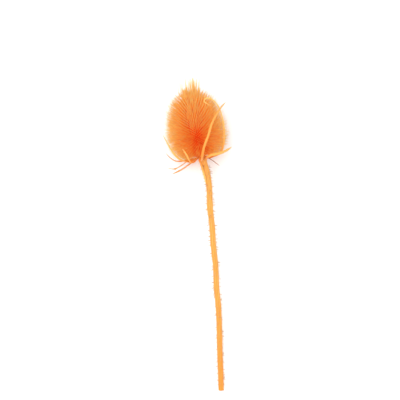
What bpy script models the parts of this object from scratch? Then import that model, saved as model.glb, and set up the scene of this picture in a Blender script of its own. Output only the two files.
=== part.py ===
"""One dried and dyed teasel, as picked: an awned seed head with its long bracts on a cut stem.

It lies on its side on a surface at z = 0. The tip of the head points towards -X and the cut end of the
stem towards +X. The head rests on the tips of its lowest awns, which are bent up to the surface, and
the stem slopes down from the head and rests on its cut end.

Sizes are in millimetres up to the meshes, which are in metres. Places on the head are given in its own
frame: a distance along its axis from its base, a radius from that axis, and an angle round it, where 0
points to +Y and 90 degrees points up.
"""

import math
import random

import bmesh
import bpy
import numpy as np

MM = 0.001
SEED = 11

# Driving dimensions of the head
HEAD_BASE = np.array((-78.466, 3.60, 25.7))
HEAD_TURN = math.radians(10.4)
HEAD_PITCH = math.radians(4.0)
CORE_RADIUS = 19.3
CORE_BELLY = 20.0
CORE_LENGTH = 64.0
CORE_BOTTOM = 0.4
CORE_FOOT = 0.6
CORE_BLUNT = (2.4, 0.50)
CORE_DRAWN = (2.0, 0.66)
CORE_SIDES = 22
CORE_RINGS_BELOW = 6
CORE_RINGS_ABOVE = 8
CORE_LAST_RING = 61.0
AWN_COUNT = 760
AWN_LENGTH = 11.2
AWN_LENGTH_DRAW = (0.92, 1.05)
AWN_LEAN_DRAW = math.radians(2.5)
AWN_TURN_DRAW = 0.025
AWN_ROOT_RADIUS = 1.25
AWN_SUNK = 3.0
AWN_BASE_SHARE = 0.72
AWN_FULL_AT = 18.0
AWN_START = 3.4
AWN_END = 63.7
AWN_SURVEY = 400
TUFT_START = 60.5
TUFT_EXTRA = 7.3

# How far the awns lean from the head's axis, in degrees, at distances along it
AWN_LEANS = (
    (3.4, 108), (10, 101), (16, 93.5), (20, 88), (25, 80.5), (30, 73), (34, 68),
    (39, 62), (45, 53), (49, 47), (57, 32), (61, 21), (64, 10),
)

# Driving dimensions of the stem
STEM_COLLAR_RADIUS = 4.0
STEM_TOP_RADIUS = 2.85
STEM_END_RADIUS = 2.65
STEM_COLLAR_LENGTH = 4.5
STEM_TAPER_LENGTH = 200.0
STEM_RIBS = 8
STEM_RIB_DEPTH = 0.10
STEM_RING_STEP = 10.0
STEM_END_HEIGHT = 2.5
STEM_LEVEL = np.array((0.0, 1.0, 0.0))
PRICKLE_COUNT = 58
PRICKLE_LENGTH = 2.2
PRICKLE_RADIUS = 0.55
PRICKLE_START = 27.0
PRICKLE_MARGIN = 8.0
PRICKLE_CROWDING = 1.25
PRICKLE_SUNK = 1.2
PRICKLE_LENGTH_DRAW = (0.7, 1.2)
PRICKLE_CLEAR = 0.4

# The stem's centre line, as steps towards +X, +Y and up from the base of the head
STEM_ROUTE = (
    (0.0, 0.0, 0.0),
    (3.4, 1.9, -0.3),
    (7.3, 3.5, -0.7),
    (14.8, 5.6, -1.3),
    (25.2, 7.6, -2.3),
    (35.2, 8.5, -3.3),
    (50.4, 9.0, -4.9),
    (69.5, 11.2, -7.0),
    (88.6, 12.4, -9.0),
    (107.8, 14.6, -11.1),
    (133.3, 15.8, -13.8),
    (150.4, 17.5, -15.6),
    (175.9, 18.6, -18.2),
    (195.0, 19.0, -20.1),
    (220.5, 20.0, -22.4),
    (236.0, 20.5, STEM_END_HEIGHT - HEAD_BASE[2]),
)

# Each bract: its name, the angle of its root round the stem, its width, and the points that it passes,
# as steps towards +X, +Y and up from the base of the head
BRACT_ROOT_RADIUS = 5.2
BRACT_ROOT_DROP = 1.2
BRACT_ROOT_WIDTH = 1.7
BRACT_THICKNESS_RATIO = 0.42
BRACT_THICKNESS_LEAST = 0.62
BRACT_SWELL = 0.15
BRACT_TAPER = 0.55
BRACT_KEEL = 0.6
BRACT_STEP = 3.6
BRACTS = (
    ("bract_front", 72, 2.5, (
        (3.8, 1.0, 14.0), (3.2, 0.9, 24.0), (-1.0, 1.4, 30.2), (-9.0, 3.2, 33.2), (-19.0, 6.9, 33.6),
        (-30.4, 10.3, 31.6), (-37.8, 13.6, 28.6), (-45.8, 18.3, 23.4), (-53.2, 24.3, 17.4))),
    ("bract_curl", 20, 2.3, (
        (0.8, 9.4, 5.6), (-0.4, 13.4, 9.0), (-1.6, 17.0, 12.2), (-3.0, 19.2, 14.8), (-5.8, 20.8, 17.3),
        (-10.4, 22.0, 20.0),
        (-15.9, 22.7, 21.0), (-27.0, 22.6, 19.8), (-36.0, 21.4, 19.2), (-44.0, 19.2, 19.2),
        (-50.2, 16.0, 20.2), (-54.4, 12.4, 22.0), (-56.4, 8.4, 24.2), (-56.2, 4.6, 26.4),
        (-53.4, 3.0, 28.2), (-50.6, 6.4, 28.8), (-48.8, 10.6, 28.2))),
    ("bract_right", 45, 2.6, (
        (2.8, 5.4, 10.0), (1.8, 5.8, 16.0), (0.6, 6.8, 21.2), (-0.7, 10.0, 24.0), (-1.5, 13.8, 23.4),
        (-2.4, 17.5, 21.4), (-4.3, 22.3, 17.6), (-6.8, 27.0, 12.6), (-9.3, 30.6, 8.4))),
    ("bract_right_low", 325, 1.3, (
        (2.6, 9.6, -6.0), (5.2, 13.6, -8.6), (8.7, 18.3, -11.0))),
    ("bract_over_stem", 105, 1.7, (
        (3.4, -1.6, 5.2), (6.8, -0.4, 4.6), (13.4, 1.7, 3.4), (21.0, 3.8, 2.4), (27.5, 5.0, 1.6))),
    ("bract_kinked", 128, 1.8, (
        (4.6, -5.4, 10.0), (6.6, -9.2, 16.0), (4.4, -11.6, 21.4), (-0.2, -13.8, 25.8), (-7.1, -18.4, 28.4))),
    ("bract_left_long", 155, 2.0, (
        (5.2, -9.4, 8.0), (5.3, -14.6, 13.8), (2.9, -21.5, 18.4), (-2.6, -27.0, 18.0), (-8.6, -30.9, 15.8),
        (-14.8, -34.3, 13.4), (-21.0, -37.8, 11.6))),
    ("bract_left_down", 182, 1.6, (
        (4.8, -13.0, 1.6), (9.2, -19.5, 2.8), (12.3, -25.6, 3.4), (11.8, -33.2, 3.8))),
    ("bract_left_mid", 208, 1.7, (
        (3.4, -11.0, -3.4), (4.4, -18.4, -5.0), (4.1, -25.6, -6.2), (1.0, -30.7, -6.8),
        (-3.6, -35.3, -7.0))),
    ("bract_left_low", 236, 1.5, (
        (6.6, -10.4, -8.6), (12.8, -19.5, -13.0), (17.4, -29.2, -16.0))),
    ("bract_under_left", 264, 1.8, (
        (2.2, -7.0, -11.0), (2.4, -13.5, -17.6), (-3.0, -20.8, -22.8), (-15.0, -26.0, -24.4),
        (-29.0, -29.5, -23.6))),
    ("bract_under_right", 295, 1.8, (
        (0.8, 7.0, -11.0), (-1.4, 13.6, -17.4), (-4.6, 19.0, -22.0), (-14.0, 21.6, -24.4),
        (-27.0, 19.0, -24.3))),
)

# Colours of the dyed plant, as linear red, green and blue, then how rough it is and its sharp edges
HEAD_LOOK = ((0.86, 0.20, 0.035, 1.0), 0.70)
STEM_LOOK = ((0.90, 0.44, 0.11, 1.0), 0.62)
BRACT_LOOK = ((0.92, 0.36, 0.07, 1.0), 0.60)
HEAD_SHARP = math.radians(35.0)
STEM_SHARP = math.radians(50.0)
BRACT_SHARP = math.radians(30.0)

HEAD_AXIS = np.array((
    -math.cos(HEAD_TURN) * math.cos(HEAD_PITCH),
    -math.sin(HEAD_TURN) * math.cos(HEAD_PITCH),
    math.sin(HEAD_PITCH),
))
HEAD_SIDE = np.array((-math.sin(HEAD_TURN), math.cos(HEAD_TURN), 0.0))
HEAD_UP = np.cross(HEAD_SIDE, HEAD_AXIS)
GOLDEN_ANGLE = math.pi * (3.0 - math.sqrt(5.0))


def clear_scene():
    """Remove whatever objects the file starts with."""
    for found in list(bpy.data.objects):
        bpy.data.objects.remove(found, do_unlink=True)


def plant_material(name, colour, roughness):
    """A dry plant surface: one dyed colour, no metal."""
    material = bpy.data.materials.new(name)
    material.use_nodes = True
    shader = material.node_tree.nodes["Principled BSDF"]
    shader.inputs["Base Color"].default_value = colour
    shader.inputs["Roughness"].default_value = roughness
    shader.inputs["Metallic"].default_value = 0.0
    return material


def head_point(along, radius, angle):
    """A point of the head's frame, in millimetres of the world."""
    outward = HEAD_SIDE * math.cos(angle) + HEAD_UP * math.sin(angle)
    return HEAD_BASE + HEAD_AXIS * along + outward * radius


def core_radius(along):
    """The egg-shaped core: blunt below its belly, and drawn out towards the tip above it."""
    along = np.asarray(along, dtype=float)
    below = np.clip((CORE_BELLY - along) / (CORE_BELLY + CORE_FOOT), 0.0, 1.0)
    above = np.clip((along - CORE_BELLY) / (CORE_LENGTH - CORE_BELLY), 0.0, 1.0)
    blunt = (1.0 - below ** CORE_BLUNT[0]) ** CORE_BLUNT[1]
    drawn = (1.0 - above ** CORE_DRAWN[0]) ** CORE_DRAWN[1]
    return CORE_RADIUS * np.where(along < CORE_BELLY, blunt, drawn)


def across(direction, hint):
    """The unit vector nearest to the hint that is square to the direction."""
    flat = hint - direction * float(np.dot(hint, direction))
    return flat / np.linalg.norm(flat)


def loft(name, rings, tip=None):
    """A closed object through rings of points: a flat cap at its start, and a cap or a tip at its end."""
    shape = bmesh.new()
    loops = [[shape.verts.new(point * MM) for point in ring] for ring in rings]
    for lower, upper in zip(loops, loops[1:]):
        for corner in range(len(lower)):
            after = (corner + 1) % len(lower)
            shape.faces.new((lower[corner], lower[after], upper[after], upper[corner]))
    shape.faces.new(loops[0])
    if tip is None:
        shape.faces.new(loops[-1])
    else:
        point = shape.verts.new(tip * MM)
        for corner in range(len(loops[-1])):
            shape.faces.new((loops[-1][corner], loops[-1][(corner + 1) % len(loops[-1])], point))
    bmesh.ops.triangulate(shape, faces=shape.faces[:])
    bmesh.ops.recalc_face_normals(shape, faces=shape.faces[:])
    mesh = bpy.data.meshes.new(name)
    shape.to_mesh(mesh)
    shape.free()
    made = bpy.data.objects.new(name, mesh)
    bpy.context.scene.collection.objects.link(made)
    return made


def spike(name, root, tip, radius):
    """A three-sided spike from its root to its tip."""
    direction = (tip - root) / np.linalg.norm(tip - root)
    side = across(direction, np.array((0.31, 0.52, 0.80)))
    other = np.cross(direction, side)
    turns = [math.tau * corner / 3 for corner in range(3)]
    ring = [root + (side * math.cos(turn) + other * math.sin(turn)) * radius for turn in turns]
    return loft(name, [ring], tip=tip)


def unite(body, repeats):
    """Join the repeats to the body with one union on a collection, then remove them."""
    group = bpy.data.collections.new("repeats")
    bpy.context.scene.collection.children.link(group)
    for repeat in repeats:
        bpy.context.scene.collection.objects.unlink(repeat)
        group.objects.link(repeat)
    union = body.modifiers.new("union", "BOOLEAN")
    union.operation = "UNION"
    union.operand_type = "COLLECTION"
    union.collection = group
    union.solver = "MANIFOLD"
    bpy.context.view_layer.update()
    joined = bpy.data.meshes.new_from_object(body.evaluated_get(bpy.context.evaluated_depsgraph_get()))
    joined.name = body.name
    body.modifiers.clear()
    body.data = joined
    for repeat in repeats:
        bpy.data.objects.remove(repeat, do_unlink=True)
    bpy.data.collections.remove(group)


def finish(made, material, sharp):
    """Give an object its material and smooth shading, with edges over the sharp angle kept."""
    made.data.materials.clear()
    made.data.materials.append(material)
    made.data.shade_smooth()
    made.data.set_sharp_from_angle(angle=sharp)


def smooth_path(points, step):
    """Points about a step apart on a smooth curve through the given points."""
    points = np.array(points, dtype=float)
    spans = np.linalg.norm(np.diff(points, axis=0), axis=1)
    reach = np.concatenate(([0.0], np.cumsum(spans)))
    slopes = np.gradient(points, reach, axis=0)
    wanted = np.linspace(0.0, reach[-1], max(3, round(reach[-1] / step) + 1))
    found = np.clip(np.searchsorted(reach, wanted, side="right") - 1, 0, len(spans) - 1)
    width = spans[found][:, None]
    part = ((wanted - reach[found]) / spans[found])[:, None]
    return (
        (2 * part ** 3 - 3 * part ** 2 + 1) * points[found]
        + (part ** 3 - 2 * part ** 2 + part) * width * slopes[found]
        + (3 * part ** 2 - 2 * part ** 3) * points[found + 1]
        + (part ** 3 - part ** 2) * width * slopes[found + 1]
    )


def directions_along(path):
    """The unit direction of a path at each of its points."""
    slopes = np.gradient(path, axis=0)
    return slopes / np.linalg.norm(slopes, axis=1)[:, None]


def core_places(count):
    """Distances along the head that give each awn the same share of the core's surface."""
    along = np.linspace(AWN_START, AWN_END, AWN_SURVEY)
    radius = core_radius(along)
    strip = np.hypot(np.gradient(along), np.gradient(radius)) * radius
    share = np.cumsum(strip) / strip.sum()
    return np.interp((np.arange(count) + 0.5) / count, share, along)


def build_core():
    """The core of the head as rings round its axis, closed by a flat base and a tip."""
    upper = np.linspace(CORE_BELLY, CORE_LAST_RING, CORE_RINGS_ABOVE)
    bends = np.concatenate((np.linspace(CORE_BOTTOM, CORE_BELLY, CORE_RINGS_BELOW), upper[1:]))
    turns = [math.tau * corner / CORE_SIDES for corner in range(CORE_SIDES)]
    rings = [[head_point(along, float(core_radius(along)), turn) for turn in turns] for along in bends]
    return loft("seed_head", rings, tip=head_point(CORE_LENGTH, 0.0, 0.0))


def build_seed_head(material):
    """The core with its awns, in the crossing spirals of the golden angle, and the tuft at its tip."""
    draw = random.Random(SEED)
    core = build_core()
    awns = []
    for number, along in enumerate(core_places(AWN_COUNT)):
        turn = number * GOLDEN_ANGLE + draw.uniform(-AWN_TURN_DRAW, AWN_TURN_DRAW)
        lean = math.radians(float(np.interp(along, *zip(*AWN_LEANS))))
        lean += draw.uniform(-AWN_LEAN_DRAW, AWN_LEAN_DRAW)
        grown = min(1.0, (along - AWN_START) / (AWN_FULL_AT - AWN_START))
        length = AWN_LENGTH * draw.uniform(*AWN_LENGTH_DRAW)
        length *= AWN_BASE_SHARE + (1.0 - AWN_BASE_SHARE) * grown
        length += TUFT_EXTRA * max(0.0, (along - TUFT_START) / (CORE_LENGTH - TUFT_START))
        radius = float(core_radius(along))
        tip = head_point(along + math.cos(lean) * length, radius + math.sin(lean) * length, turn)
        root = head_point(along - math.cos(lean) * AWN_SUNK, radius - math.sin(lean) * AWN_SUNK, turn)
        tip[2] = max(tip[2], 0.0)
        awns.append(spike(f"awn_{number}", root, tip, AWN_ROOT_RADIUS))
    unite(core, awns)
    finish(core, material, HEAD_SHARP)


def stem_radius(gone):
    """The stem's radius at a distance from the head: a collar that narrows, then a long taper."""
    collar = (STEM_COLLAR_RADIUS - STEM_TOP_RADIUS) * math.exp(-((gone / STEM_COLLAR_LENGTH) ** 2))
    tapered = (STEM_END_RADIUS - STEM_TOP_RADIUS) * min(1.0, gone / STEM_TAPER_LENGTH)
    return STEM_TOP_RADIUS + tapered + collar


def build_stem(material):
    """The ribbed stem along its route, square to the head at its top, with a plain cut end and prickles."""
    draw = random.Random(SEED + 1)
    path = smooth_path(np.array(STEM_ROUTE) + HEAD_BASE, STEM_RING_STEP)
    path = np.insert(path, 1, (path[0] + path[1]) / 2, axis=0)
    ways = directions_along(path)
    ways[0] = -HEAD_AXIS
    gone = np.concatenate(([0.0], np.cumsum(np.linalg.norm(np.diff(path, axis=0), axis=1))))
    rings = []
    for point, way, distance in zip(path, ways, gone):
        side = across(way, STEM_LEVEL)
        above = np.cross(way, side)
        depth = STEM_RIB_DEPTH * min(1.0, distance / STEM_COLLAR_LENGTH)
        ring = []
        for corner in range(2 * STEM_RIBS):
            turn = math.tau * corner / (2 * STEM_RIBS)
            radius = stem_radius(distance) * (1.0 + depth * (0.5 if corner % 2 == 0 else -0.5))
            place = point + (side * math.cos(turn) + above * math.sin(turn)) * radius
            place[2] = max(place[2], 0.0)
            ring.append(place)
        rings.append(ring)
    stem = loft("stem", rings)
    prickles = []
    for number in range(PRICKLE_COUNT):
        share = (number + 0.5) / PRICKLE_COUNT
        distance = PRICKLE_START + (gone[-1] - PRICKLE_START - PRICKLE_MARGIN) * share ** PRICKLE_CROWDING
        turn = number * GOLDEN_ANGLE
        point = np.array([np.interp(distance, gone, path[:, axis]) for axis in range(3)])
        way = np.array([np.interp(distance, gone, ways[:, axis]) for axis in range(3)])
        side = across(way, STEM_LEVEL)
        above = np.cross(way, side)
        outward = side * math.cos(turn) + above * math.sin(turn)
        radius = stem_radius(distance)
        length = PRICKLE_LENGTH * draw.uniform(*PRICKLE_LENGTH_DRAW)
        tip = point + outward * (radius + length) + way * length / 2
        root = point + outward * (radius - PRICKLE_SUNK)
        if tip[2] > PRICKLE_CLEAR:
            prickles.append(spike(f"prickle_{number}", root, tip, PRICKLE_RADIUS))
    unite(stem, prickles)
    finish(stem, material, STEM_SHARP)


def build_bract(name, degrees, width, steps, material):
    """A long keeled leaf from its root under the head, along its route to a fine tip."""
    root = head_point(-BRACT_ROOT_DROP, BRACT_ROOT_RADIUS, math.radians(degrees))
    path = smooth_path(np.vstack(([root], np.array(steps) + HEAD_BASE)), BRACT_STEP)
    ways = directions_along(path)
    rings = []
    for number, (point, way) in enumerate(zip(path[:-1], ways[:-1])):
        share = number / (len(path) - 1)
        along = float(np.dot(point - HEAD_BASE, HEAD_AXIS))
        outward = across(way, point - HEAD_BASE - HEAD_AXIS * along)
        side = np.cross(way, outward)
        swell = min(1.0, share / BRACT_SWELL)
        wide = (BRACT_ROOT_WIDTH + (width - BRACT_ROOT_WIDTH) * swell) * (1.0 - share) ** BRACT_TAPER
        wide = max(wide, BRACT_THICKNESS_LEAST)
        thick = max(wide * BRACT_THICKNESS_RATIO, BRACT_THICKNESS_LEAST)
        rings.append([
            point + side * wide / 2,
            point + outward * thick * BRACT_KEEL,
            point - side * wide / 2,
            point - outward * thick * (1.0 - BRACT_KEEL),
        ])
    bract = loft(name, rings, tip=path[-1])
    finish(bract, material, BRACT_SHARP)


def main():
    """Build the stem, the head and its bracts."""
    clear_scene()
    build_stem(plant_material("dyed_stem", *STEM_LOOK))
    build_seed_head(plant_material("dyed_head", *HEAD_LOOK))
    bract_finish = plant_material("dyed_bract", *BRACT_LOOK)
    for name, degrees, width, steps in BRACTS:
        build_bract(name, degrees, width, steps, bract_finish)


main()
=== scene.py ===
"""The looks of a dried, orange-dyed teasel: its awned head, long bracts and prickly cut stem, lying down.

Sizes are in millimetres and are turned into metres when a mesh is made. The head has its own frame: a
distance along its axis from its base, a radius from that axis, and an angle round it, where 0 points to
+Y and a quarter turn points up.
"""

import math

import bpy
import numpy as np
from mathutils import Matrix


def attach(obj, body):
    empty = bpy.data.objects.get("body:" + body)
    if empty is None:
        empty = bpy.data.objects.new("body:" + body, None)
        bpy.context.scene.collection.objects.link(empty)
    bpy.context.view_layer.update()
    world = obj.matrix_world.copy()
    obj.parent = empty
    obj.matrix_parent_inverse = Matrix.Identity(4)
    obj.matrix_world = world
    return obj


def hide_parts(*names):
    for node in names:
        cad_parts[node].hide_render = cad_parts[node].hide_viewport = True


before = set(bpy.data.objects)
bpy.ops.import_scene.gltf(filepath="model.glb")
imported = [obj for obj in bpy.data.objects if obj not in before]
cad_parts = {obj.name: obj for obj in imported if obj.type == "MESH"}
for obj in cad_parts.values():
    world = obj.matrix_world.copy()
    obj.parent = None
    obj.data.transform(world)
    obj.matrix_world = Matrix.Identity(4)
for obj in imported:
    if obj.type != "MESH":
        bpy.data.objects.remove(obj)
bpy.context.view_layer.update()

MM = 0.001
SEED = 5
GOLDEN_ANGLE = math.pi * (3.0 - math.sqrt(5.0))

# The head's frame: its base, and how far its axis is turned from -X towards -Y and pitched up. Then its
# core: the radius at the belly, the distance of the belly, the length, and the two powers of each end
HEAD_BASE = np.array((-78.466, 3.60, 25.7))
HEAD_TURN = math.radians(10.4)
HEAD_PITCH = math.radians(4.0)
CORE_RADIUS = 19.3
CORE_BELLY = 20.0
CORE_LENGTH = 64.0
CORE_FOOT = 0.6
CORE_BLUNT = (2.4, 0.50)
CORE_DRAWN = (2.0, 0.66)
CORE_STRIPS = 600

# The scales and their awns
WHORL_COUNT = 46
WHORL_AWNS = 41
AWN_START = 1.8
AWN_END = 63.7
AWN_LENGTH = 11.0
AWN_LENGTH_DRAW = (0.93, 1.05)
AWN_SUNK = 5.3
AWN_SUNK_SHARE = 0.8
AWN_WIDTHS = (0.10, 0.95)
AWN_FLOOR = 0.25
AWN_LEAN_DRAW = math.radians(0.6)
AWN_TURN_DRAW = 0.006
AWN_BASE_SHARE = 0.72
AWN_FULL_AT = 18.0
AWN_STATIONS = (0.0, 0.22, 0.42, 0.58, 0.72, 0.84, 0.94)
AWN_SHORTEN_FROM = 50.0
AWN_SHORTEN = 0.42
# Strength of the painted glow that lifts the shade between the awns
AWN_PAINTED_GLOW = 0.25
AWN_GRAIN_SHIFT = 3.7

# At distances along the head, in millimetres: the lean of an awn from the axis, and how far its tip is
# bent up from that, both in degrees
AWN_LEANS = (
    (1.8, 111, 3), (3.4, 108, 3), (10, 101, 3), (16, 93.5, 4), (20, 88, 5), (25, 80.5, 8), (30, 73, 12),
    (34, 68, 14), (39, 62, 16), (45, 53, 16), (49, 47, 15), (57, 32, 11), (61, 21, 7), (64, 10, 3),
)

# The bristles: the stride spreads them evenly over the places of the scales
BRISTLE_COUNT = 3000
BRISTLE_STRIDE = 613
BRISTLE_ALONG_DRAW = 0.2
BRISTLE_TURN_DRAW = 0.012
BRISTLE_LEAN_DRAW = math.radians(1.5)
BRISTLE_LENGTH_DRAW = (1.0, 1.36)
BRISTLE_WIDTHS = (0.34, 0.18)
BRISTLE_STATIONS = (0.0, 0.4, 0.75)

# The tuft: of every five awns two stand close together, to one side of the others. A pair of values is
# for the close ones and for the others
TUFT_COUNT = 62
TUFT_GROUP = 5
TUFT_CLOSE = 2
TUFT_REACH = (4.0, 9.0)
TUFT_ASIDE = (3.0, -1.5)
TUFT_DEPTH = 4.0
TUFT_FALL = 7.0
TUFT_LEAN = math.radians(9.0)
TUFT_LEAN_DRAW = math.radians(2.5)
TUFT_LENGTH = 21.0
TUFT_LENGTH_DRAW = (-9.0, 4.0)
TUFT_WIDTHS = (0.34, 0.5)
TUFT_BOW = 0.3
TUFT_TURN = 0.16
TUFT_GRAIN_SHIFT = 5.1

# The receptacle
RECEPTACLE_SHARE = 0.76
# Strength of the painted glow that lifts the shade in the gaps between the scales
RECEPTACLE_PAINTED_GLOW = 0.19
RECEPTACLE_ROWS = 60
RECEPTACLE_AROUND = 72
RECEPTACLE_FOOT = -0.2
RECEPTACLE_START = 0.6
RECEPTACLE_END = CORE_LENGTH - 3.0
RECEPTACLE_RIPPLE = 0.012

# The flakes of old florets
CHAFF_COUNT = 70
CHAFF_ALONG = (5.0, 55.0)
CHAFF_HEIGHT = (2.0, 8.5)
CHAFF_LENGTH = (0.9, 1.9)
CHAFF_LEAN_DRAW = 0.35
CHAFF_TURN_DRAW = 0.6
CHAFF_WIDTHS = (0.35, 1.6)
CHAFF_THIN = 0.3
CHAFF_STATIONS = (0.0, 0.35, 0.7, 0.9)

# The stem: its radii at the collar, below it and at the cut, and its route from the head's base
STEM_RADII = (4.0, 2.85, 2.65)
STEM_COLLAR_LENGTH = 4.5
STEM_TAPER_LENGTH = 200.0
STEM_TURN_LENGTH = 3.0
STEM_RIBS = 9
STEM_RIB_DEPTH = 0.085
STEM_RIB_POWER = 0.8
STEM_RIB_MEAN = 0.65
STEM_RIB_LEAST = 0.25
STEM_RIB_UNEVEN = (0.75, 0.25, 23.0)
STEM_GROOVE = (0.55, 1.6)
STEM_TWIST = 0.0035
STEM_SWAY = (0.12, 31.0)
STEM_AROUND = 90
STEM_STEP = 0.7
STEM_NODES = (51.0, 152.0)
STEM_NODE_SWELL = 0.22
STEM_NODE_LENGTH = 2.6
STEM_KNOB_DEPTH = 0.006
STEM_KNOB_WAVES = (1.9, 3.0, 0.13)
STEM_ROUTE = (
    (0.0, 0.0, 0.0), (3.4, 1.9, -0.3), (7.3, 3.5, -0.7), (14.8, 5.6, -1.3), (25.2, 7.6, -2.3),
    (35.2, 8.5, -3.3), (50.4, 9.0, -4.9), (69.5, 11.2, -7.0), (88.6, 12.4, -9.0),
    (107.8, 14.6, -11.1), (133.3, 15.8, -13.8), (150.4, 17.5, -15.6), (175.9, 18.6, -18.2),
    (195.0, 19.0, -20.1), (220.5, 20.0, -22.4),
    (236.0, 20.5, 2.5 - HEAD_BASE[2]),
)

# The cut end, from its rim inwards: share of the radius, distance past the end, and how pithy it is
STEM_CUT = (
    (0.90, 0.0, 0.6), (0.74, -0.05, 0.8), (0.68, -0.45, 1.0), (0.40, -0.62, 1.0), (0.16, -0.55, 1.0),
)

# The stem's prickles
PRICKLE_COUNT = 460
PRICKLE_START = 9.0
PRICKLE_END_GAP = 4.0
PRICKLE_THINNING = 1.35
PRICKLE_PLACE_DRAW = (0.1, 0.9)
PRICKLE_TURN_DRAW = 0.16
PRICKLE_LENGTH = (1.0, 3.6)
PRICKLE_SHORTEN = (1.1, 0.45)
PRICKLE_ROOT = 0.97
PRICKLE_SLANT = (-0.1, 0.55)
PRICKLE_WIDTHS = (0.40, 0.6)
PRICKLE_SWELL = 4.0
PRICKLE_BOW = 0.12
PRICKLE_THIN = 0.9
PRICKLE_FLOOR = 0.3

# The bracts: radius and distance along the head of the root and of the next point, and sizes
BRACT_ROOT = (3.0, -0.9)
BRACT_NEAR = (5.4, -1.2)
BRACT_STEP = 0.8
BRACT_AROUND = 12
BRACT_TIP_WIDTH = 0.2
BRACT_FOOT_WIDTH = 0.5
BRACT_FOOT_SHARE = 0.07
BRACT_THICKNESS = 0.34
BRACT_LEAST_THICKNESS = 0.22
BRACT_FACES = (0.5, 0.3)
BRACT_KEEL = 0.35
BRACT_KEEL_POWER = 6
BRACT_END_POWER = 0.75
BRACT_WAVER = 0.06
BRACT_WAVES = 37.0
BRACT_FLOOR = 0.05
SPINE_FIRST = 6
SPINE_LAST = 8
SPINE_EVERY = 3
SPINE_LENGTH = (0.5, 1.15)
SPINE_SEAT = 0.42
SPINE_FORWARD = 0.7
SPINE_WIDTHS = (0.12, 0.3)
SPINE_STATIONS = (0.0, 0.5)

# For each bract: node, angle of the root round the stem in degrees, width, depth of dye, bluntness of the
# tip, and route from the head's base. Above 1, the depth of dye turns into the brown of a dry leaf
BRACTS = (
    ("bract_front", 72, 2.2, 0.8, 10, (
        (3.8, 1.0, 14.0), (3.2, 0.9, 24.0), (-1.0, 1.4, 30.2), (-9.0, 3.2, 33.2), (-19.0, 6.9, 33.6),
        (-30.4, 10.3, 31.6), (-37.8, 13.6, 28.6), (-45.8, 18.3, 23.4), (-53.2, 24.3, 17.4))),
    ("bract_curl", 20, 2.2, 0.1, 3.5, (
        (0.8, 9.4, 5.6), (-0.4, 13.4, 9.0), (-1.6, 17.0, 12.2), (-3.0, 19.2, 14.8), (-5.8, 20.8, 17.3),
        (-10.4, 22.0, 20.0), (-15.9, 22.7, 21.0), (-27.0, 22.6, 19.8), (-36.0, 21.4, 19.2),
        (-44.0, 19.2, 19.2), (-50.2, 16.0, 20.2), (-54.4, 12.4, 22.0), (-56.4, 8.4, 24.2),
        (-56.2, 4.6, 26.4), (-53.4, 3.0, 28.2), (-50.6, 6.4, 28.8), (-48.8, 10.6, 28.2))),
    ("bract_right", 45, 2.6, 0.4, 8, (
        (2.8, 5.4, 10.0), (1.8, 5.8, 16.0), (0.6, 6.8, 21.2), (-0.7, 10.0, 24.0), (-1.5, 13.8, 23.4),
        (-2.4, 17.5, 21.4), (-4.3, 22.3, 17.6), (-6.8, 27.0, 12.6), (-9.3, 30.6, 8.4))),
    ("bract_right_low", 325, 1.3, 1.7, 8, ((2.6, 9.6, -6.0), (5.2, 13.6, -8.6), (8.7, 18.3, -11.0))),
    ("bract_over_stem", 105, 1.7, 0.1, 8, (
        (3.4, -1.6, 5.2), (6.8, -0.4, 4.6), (13.4, 1.7, 3.4), (21.0, 3.8, 2.4), (27.5, 5.0, 1.6))),
    ("bract_kinked", 128, 1.8, 0.6, 8, (
        (4.6, -5.4, 10.0), (6.6, -9.2, 16.0), (4.4, -11.6, 21.4), (-0.2, -13.8, 25.8),
        (-7.1, -18.4, 28.4))),
    ("bract_left_long", 155, 2.5, 0.35, 8, (
        (5.2, -9.4, 8.0), (5.3, -14.6, 13.8), (2.9, -21.5, 18.4), (-2.6, -27.0, 18.0),
        (-8.6, -30.9, 15.8), (-14.8, -34.3, 13.4), (-21.0, -37.8, 11.6))),
    ("bract_left_down", 182, 2.1, 1.1, 8, (
        (4.8, -13.0, 1.6), (9.2, -19.5, 2.8), (12.3, -25.6, 3.4), (11.8, -33.2, 3.8))),
    ("bract_left_mid", 208, 2.1, 1.0, 8, (
        (3.4, -11.0, -3.4), (4.4, -18.4, -5.0), (4.1, -25.6, -6.2), (1.0, -30.7, -6.8),
        (-3.6, -35.3, -7.0))),
    ("bract_left_low", 236, 2.0, 1.1, 8, (
        (6.6, -10.4, -8.6), (12.8, -19.5, -13.0), (17.4, -29.2, -16.0))),
    ("bract_under_left", 264, 1.8, 0.5, 8, (
        (2.2, -7.0, -11.0), (2.4, -13.5, -17.6), (-3.0, -20.8, -22.8), (-15.0, -26.0, -24.4),
        (-29.0, -29.5, -23.6))),
    ("bract_under_right", 295, 1.8, 0.5, 8, (
        (0.8, 7.0, -11.0), (-1.4, 13.6, -17.4), (-4.6, 19.0, -22.0), (-14.0, 21.6, -24.4),
        (-27.0, 19.0, -24.3))),
)

# The camera looks straight down, and one millimetre at the part's middle height is one photograph pixel
PHOTO_CENTRE = (-35.13, 2.6, 22.0)
PHOTO_WIDTH = 400.0
LENS = 135.0
SENSOR = 36.0

# The table and the lights, in metres and watts
TABLE_REACH = 3.0
LIGHT_PLACE = (-0.30, -0.25, 1.6)
LIGHT_AIM = (-0.05, 0.0, 0.02)
LIGHT_SIZE = 1.0
LIGHT_POWER = 14.0
WORLD_STRENGTH = 1.05

HEAD_AXIS = np.array((
    -math.cos(HEAD_TURN) * math.cos(HEAD_PITCH),
    -math.sin(HEAD_TURN) * math.cos(HEAD_PITCH),
    math.sin(HEAD_PITCH),
))
HEAD_SIDE = np.array((-math.sin(HEAD_TURN), math.cos(HEAD_TURN), 0.0))
HEAD_UP = np.cross(HEAD_SIDE, HEAD_AXIS)

# t^2 (1 - t) times this has a peak of 1
BOW_SCALE = 27.0 / 4.0


# Surfaces


def unit(vectors):
    """Each vector divided by its length."""
    return vectors / np.linalg.norm(vectors, axis=-1, keepdims=True)


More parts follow.
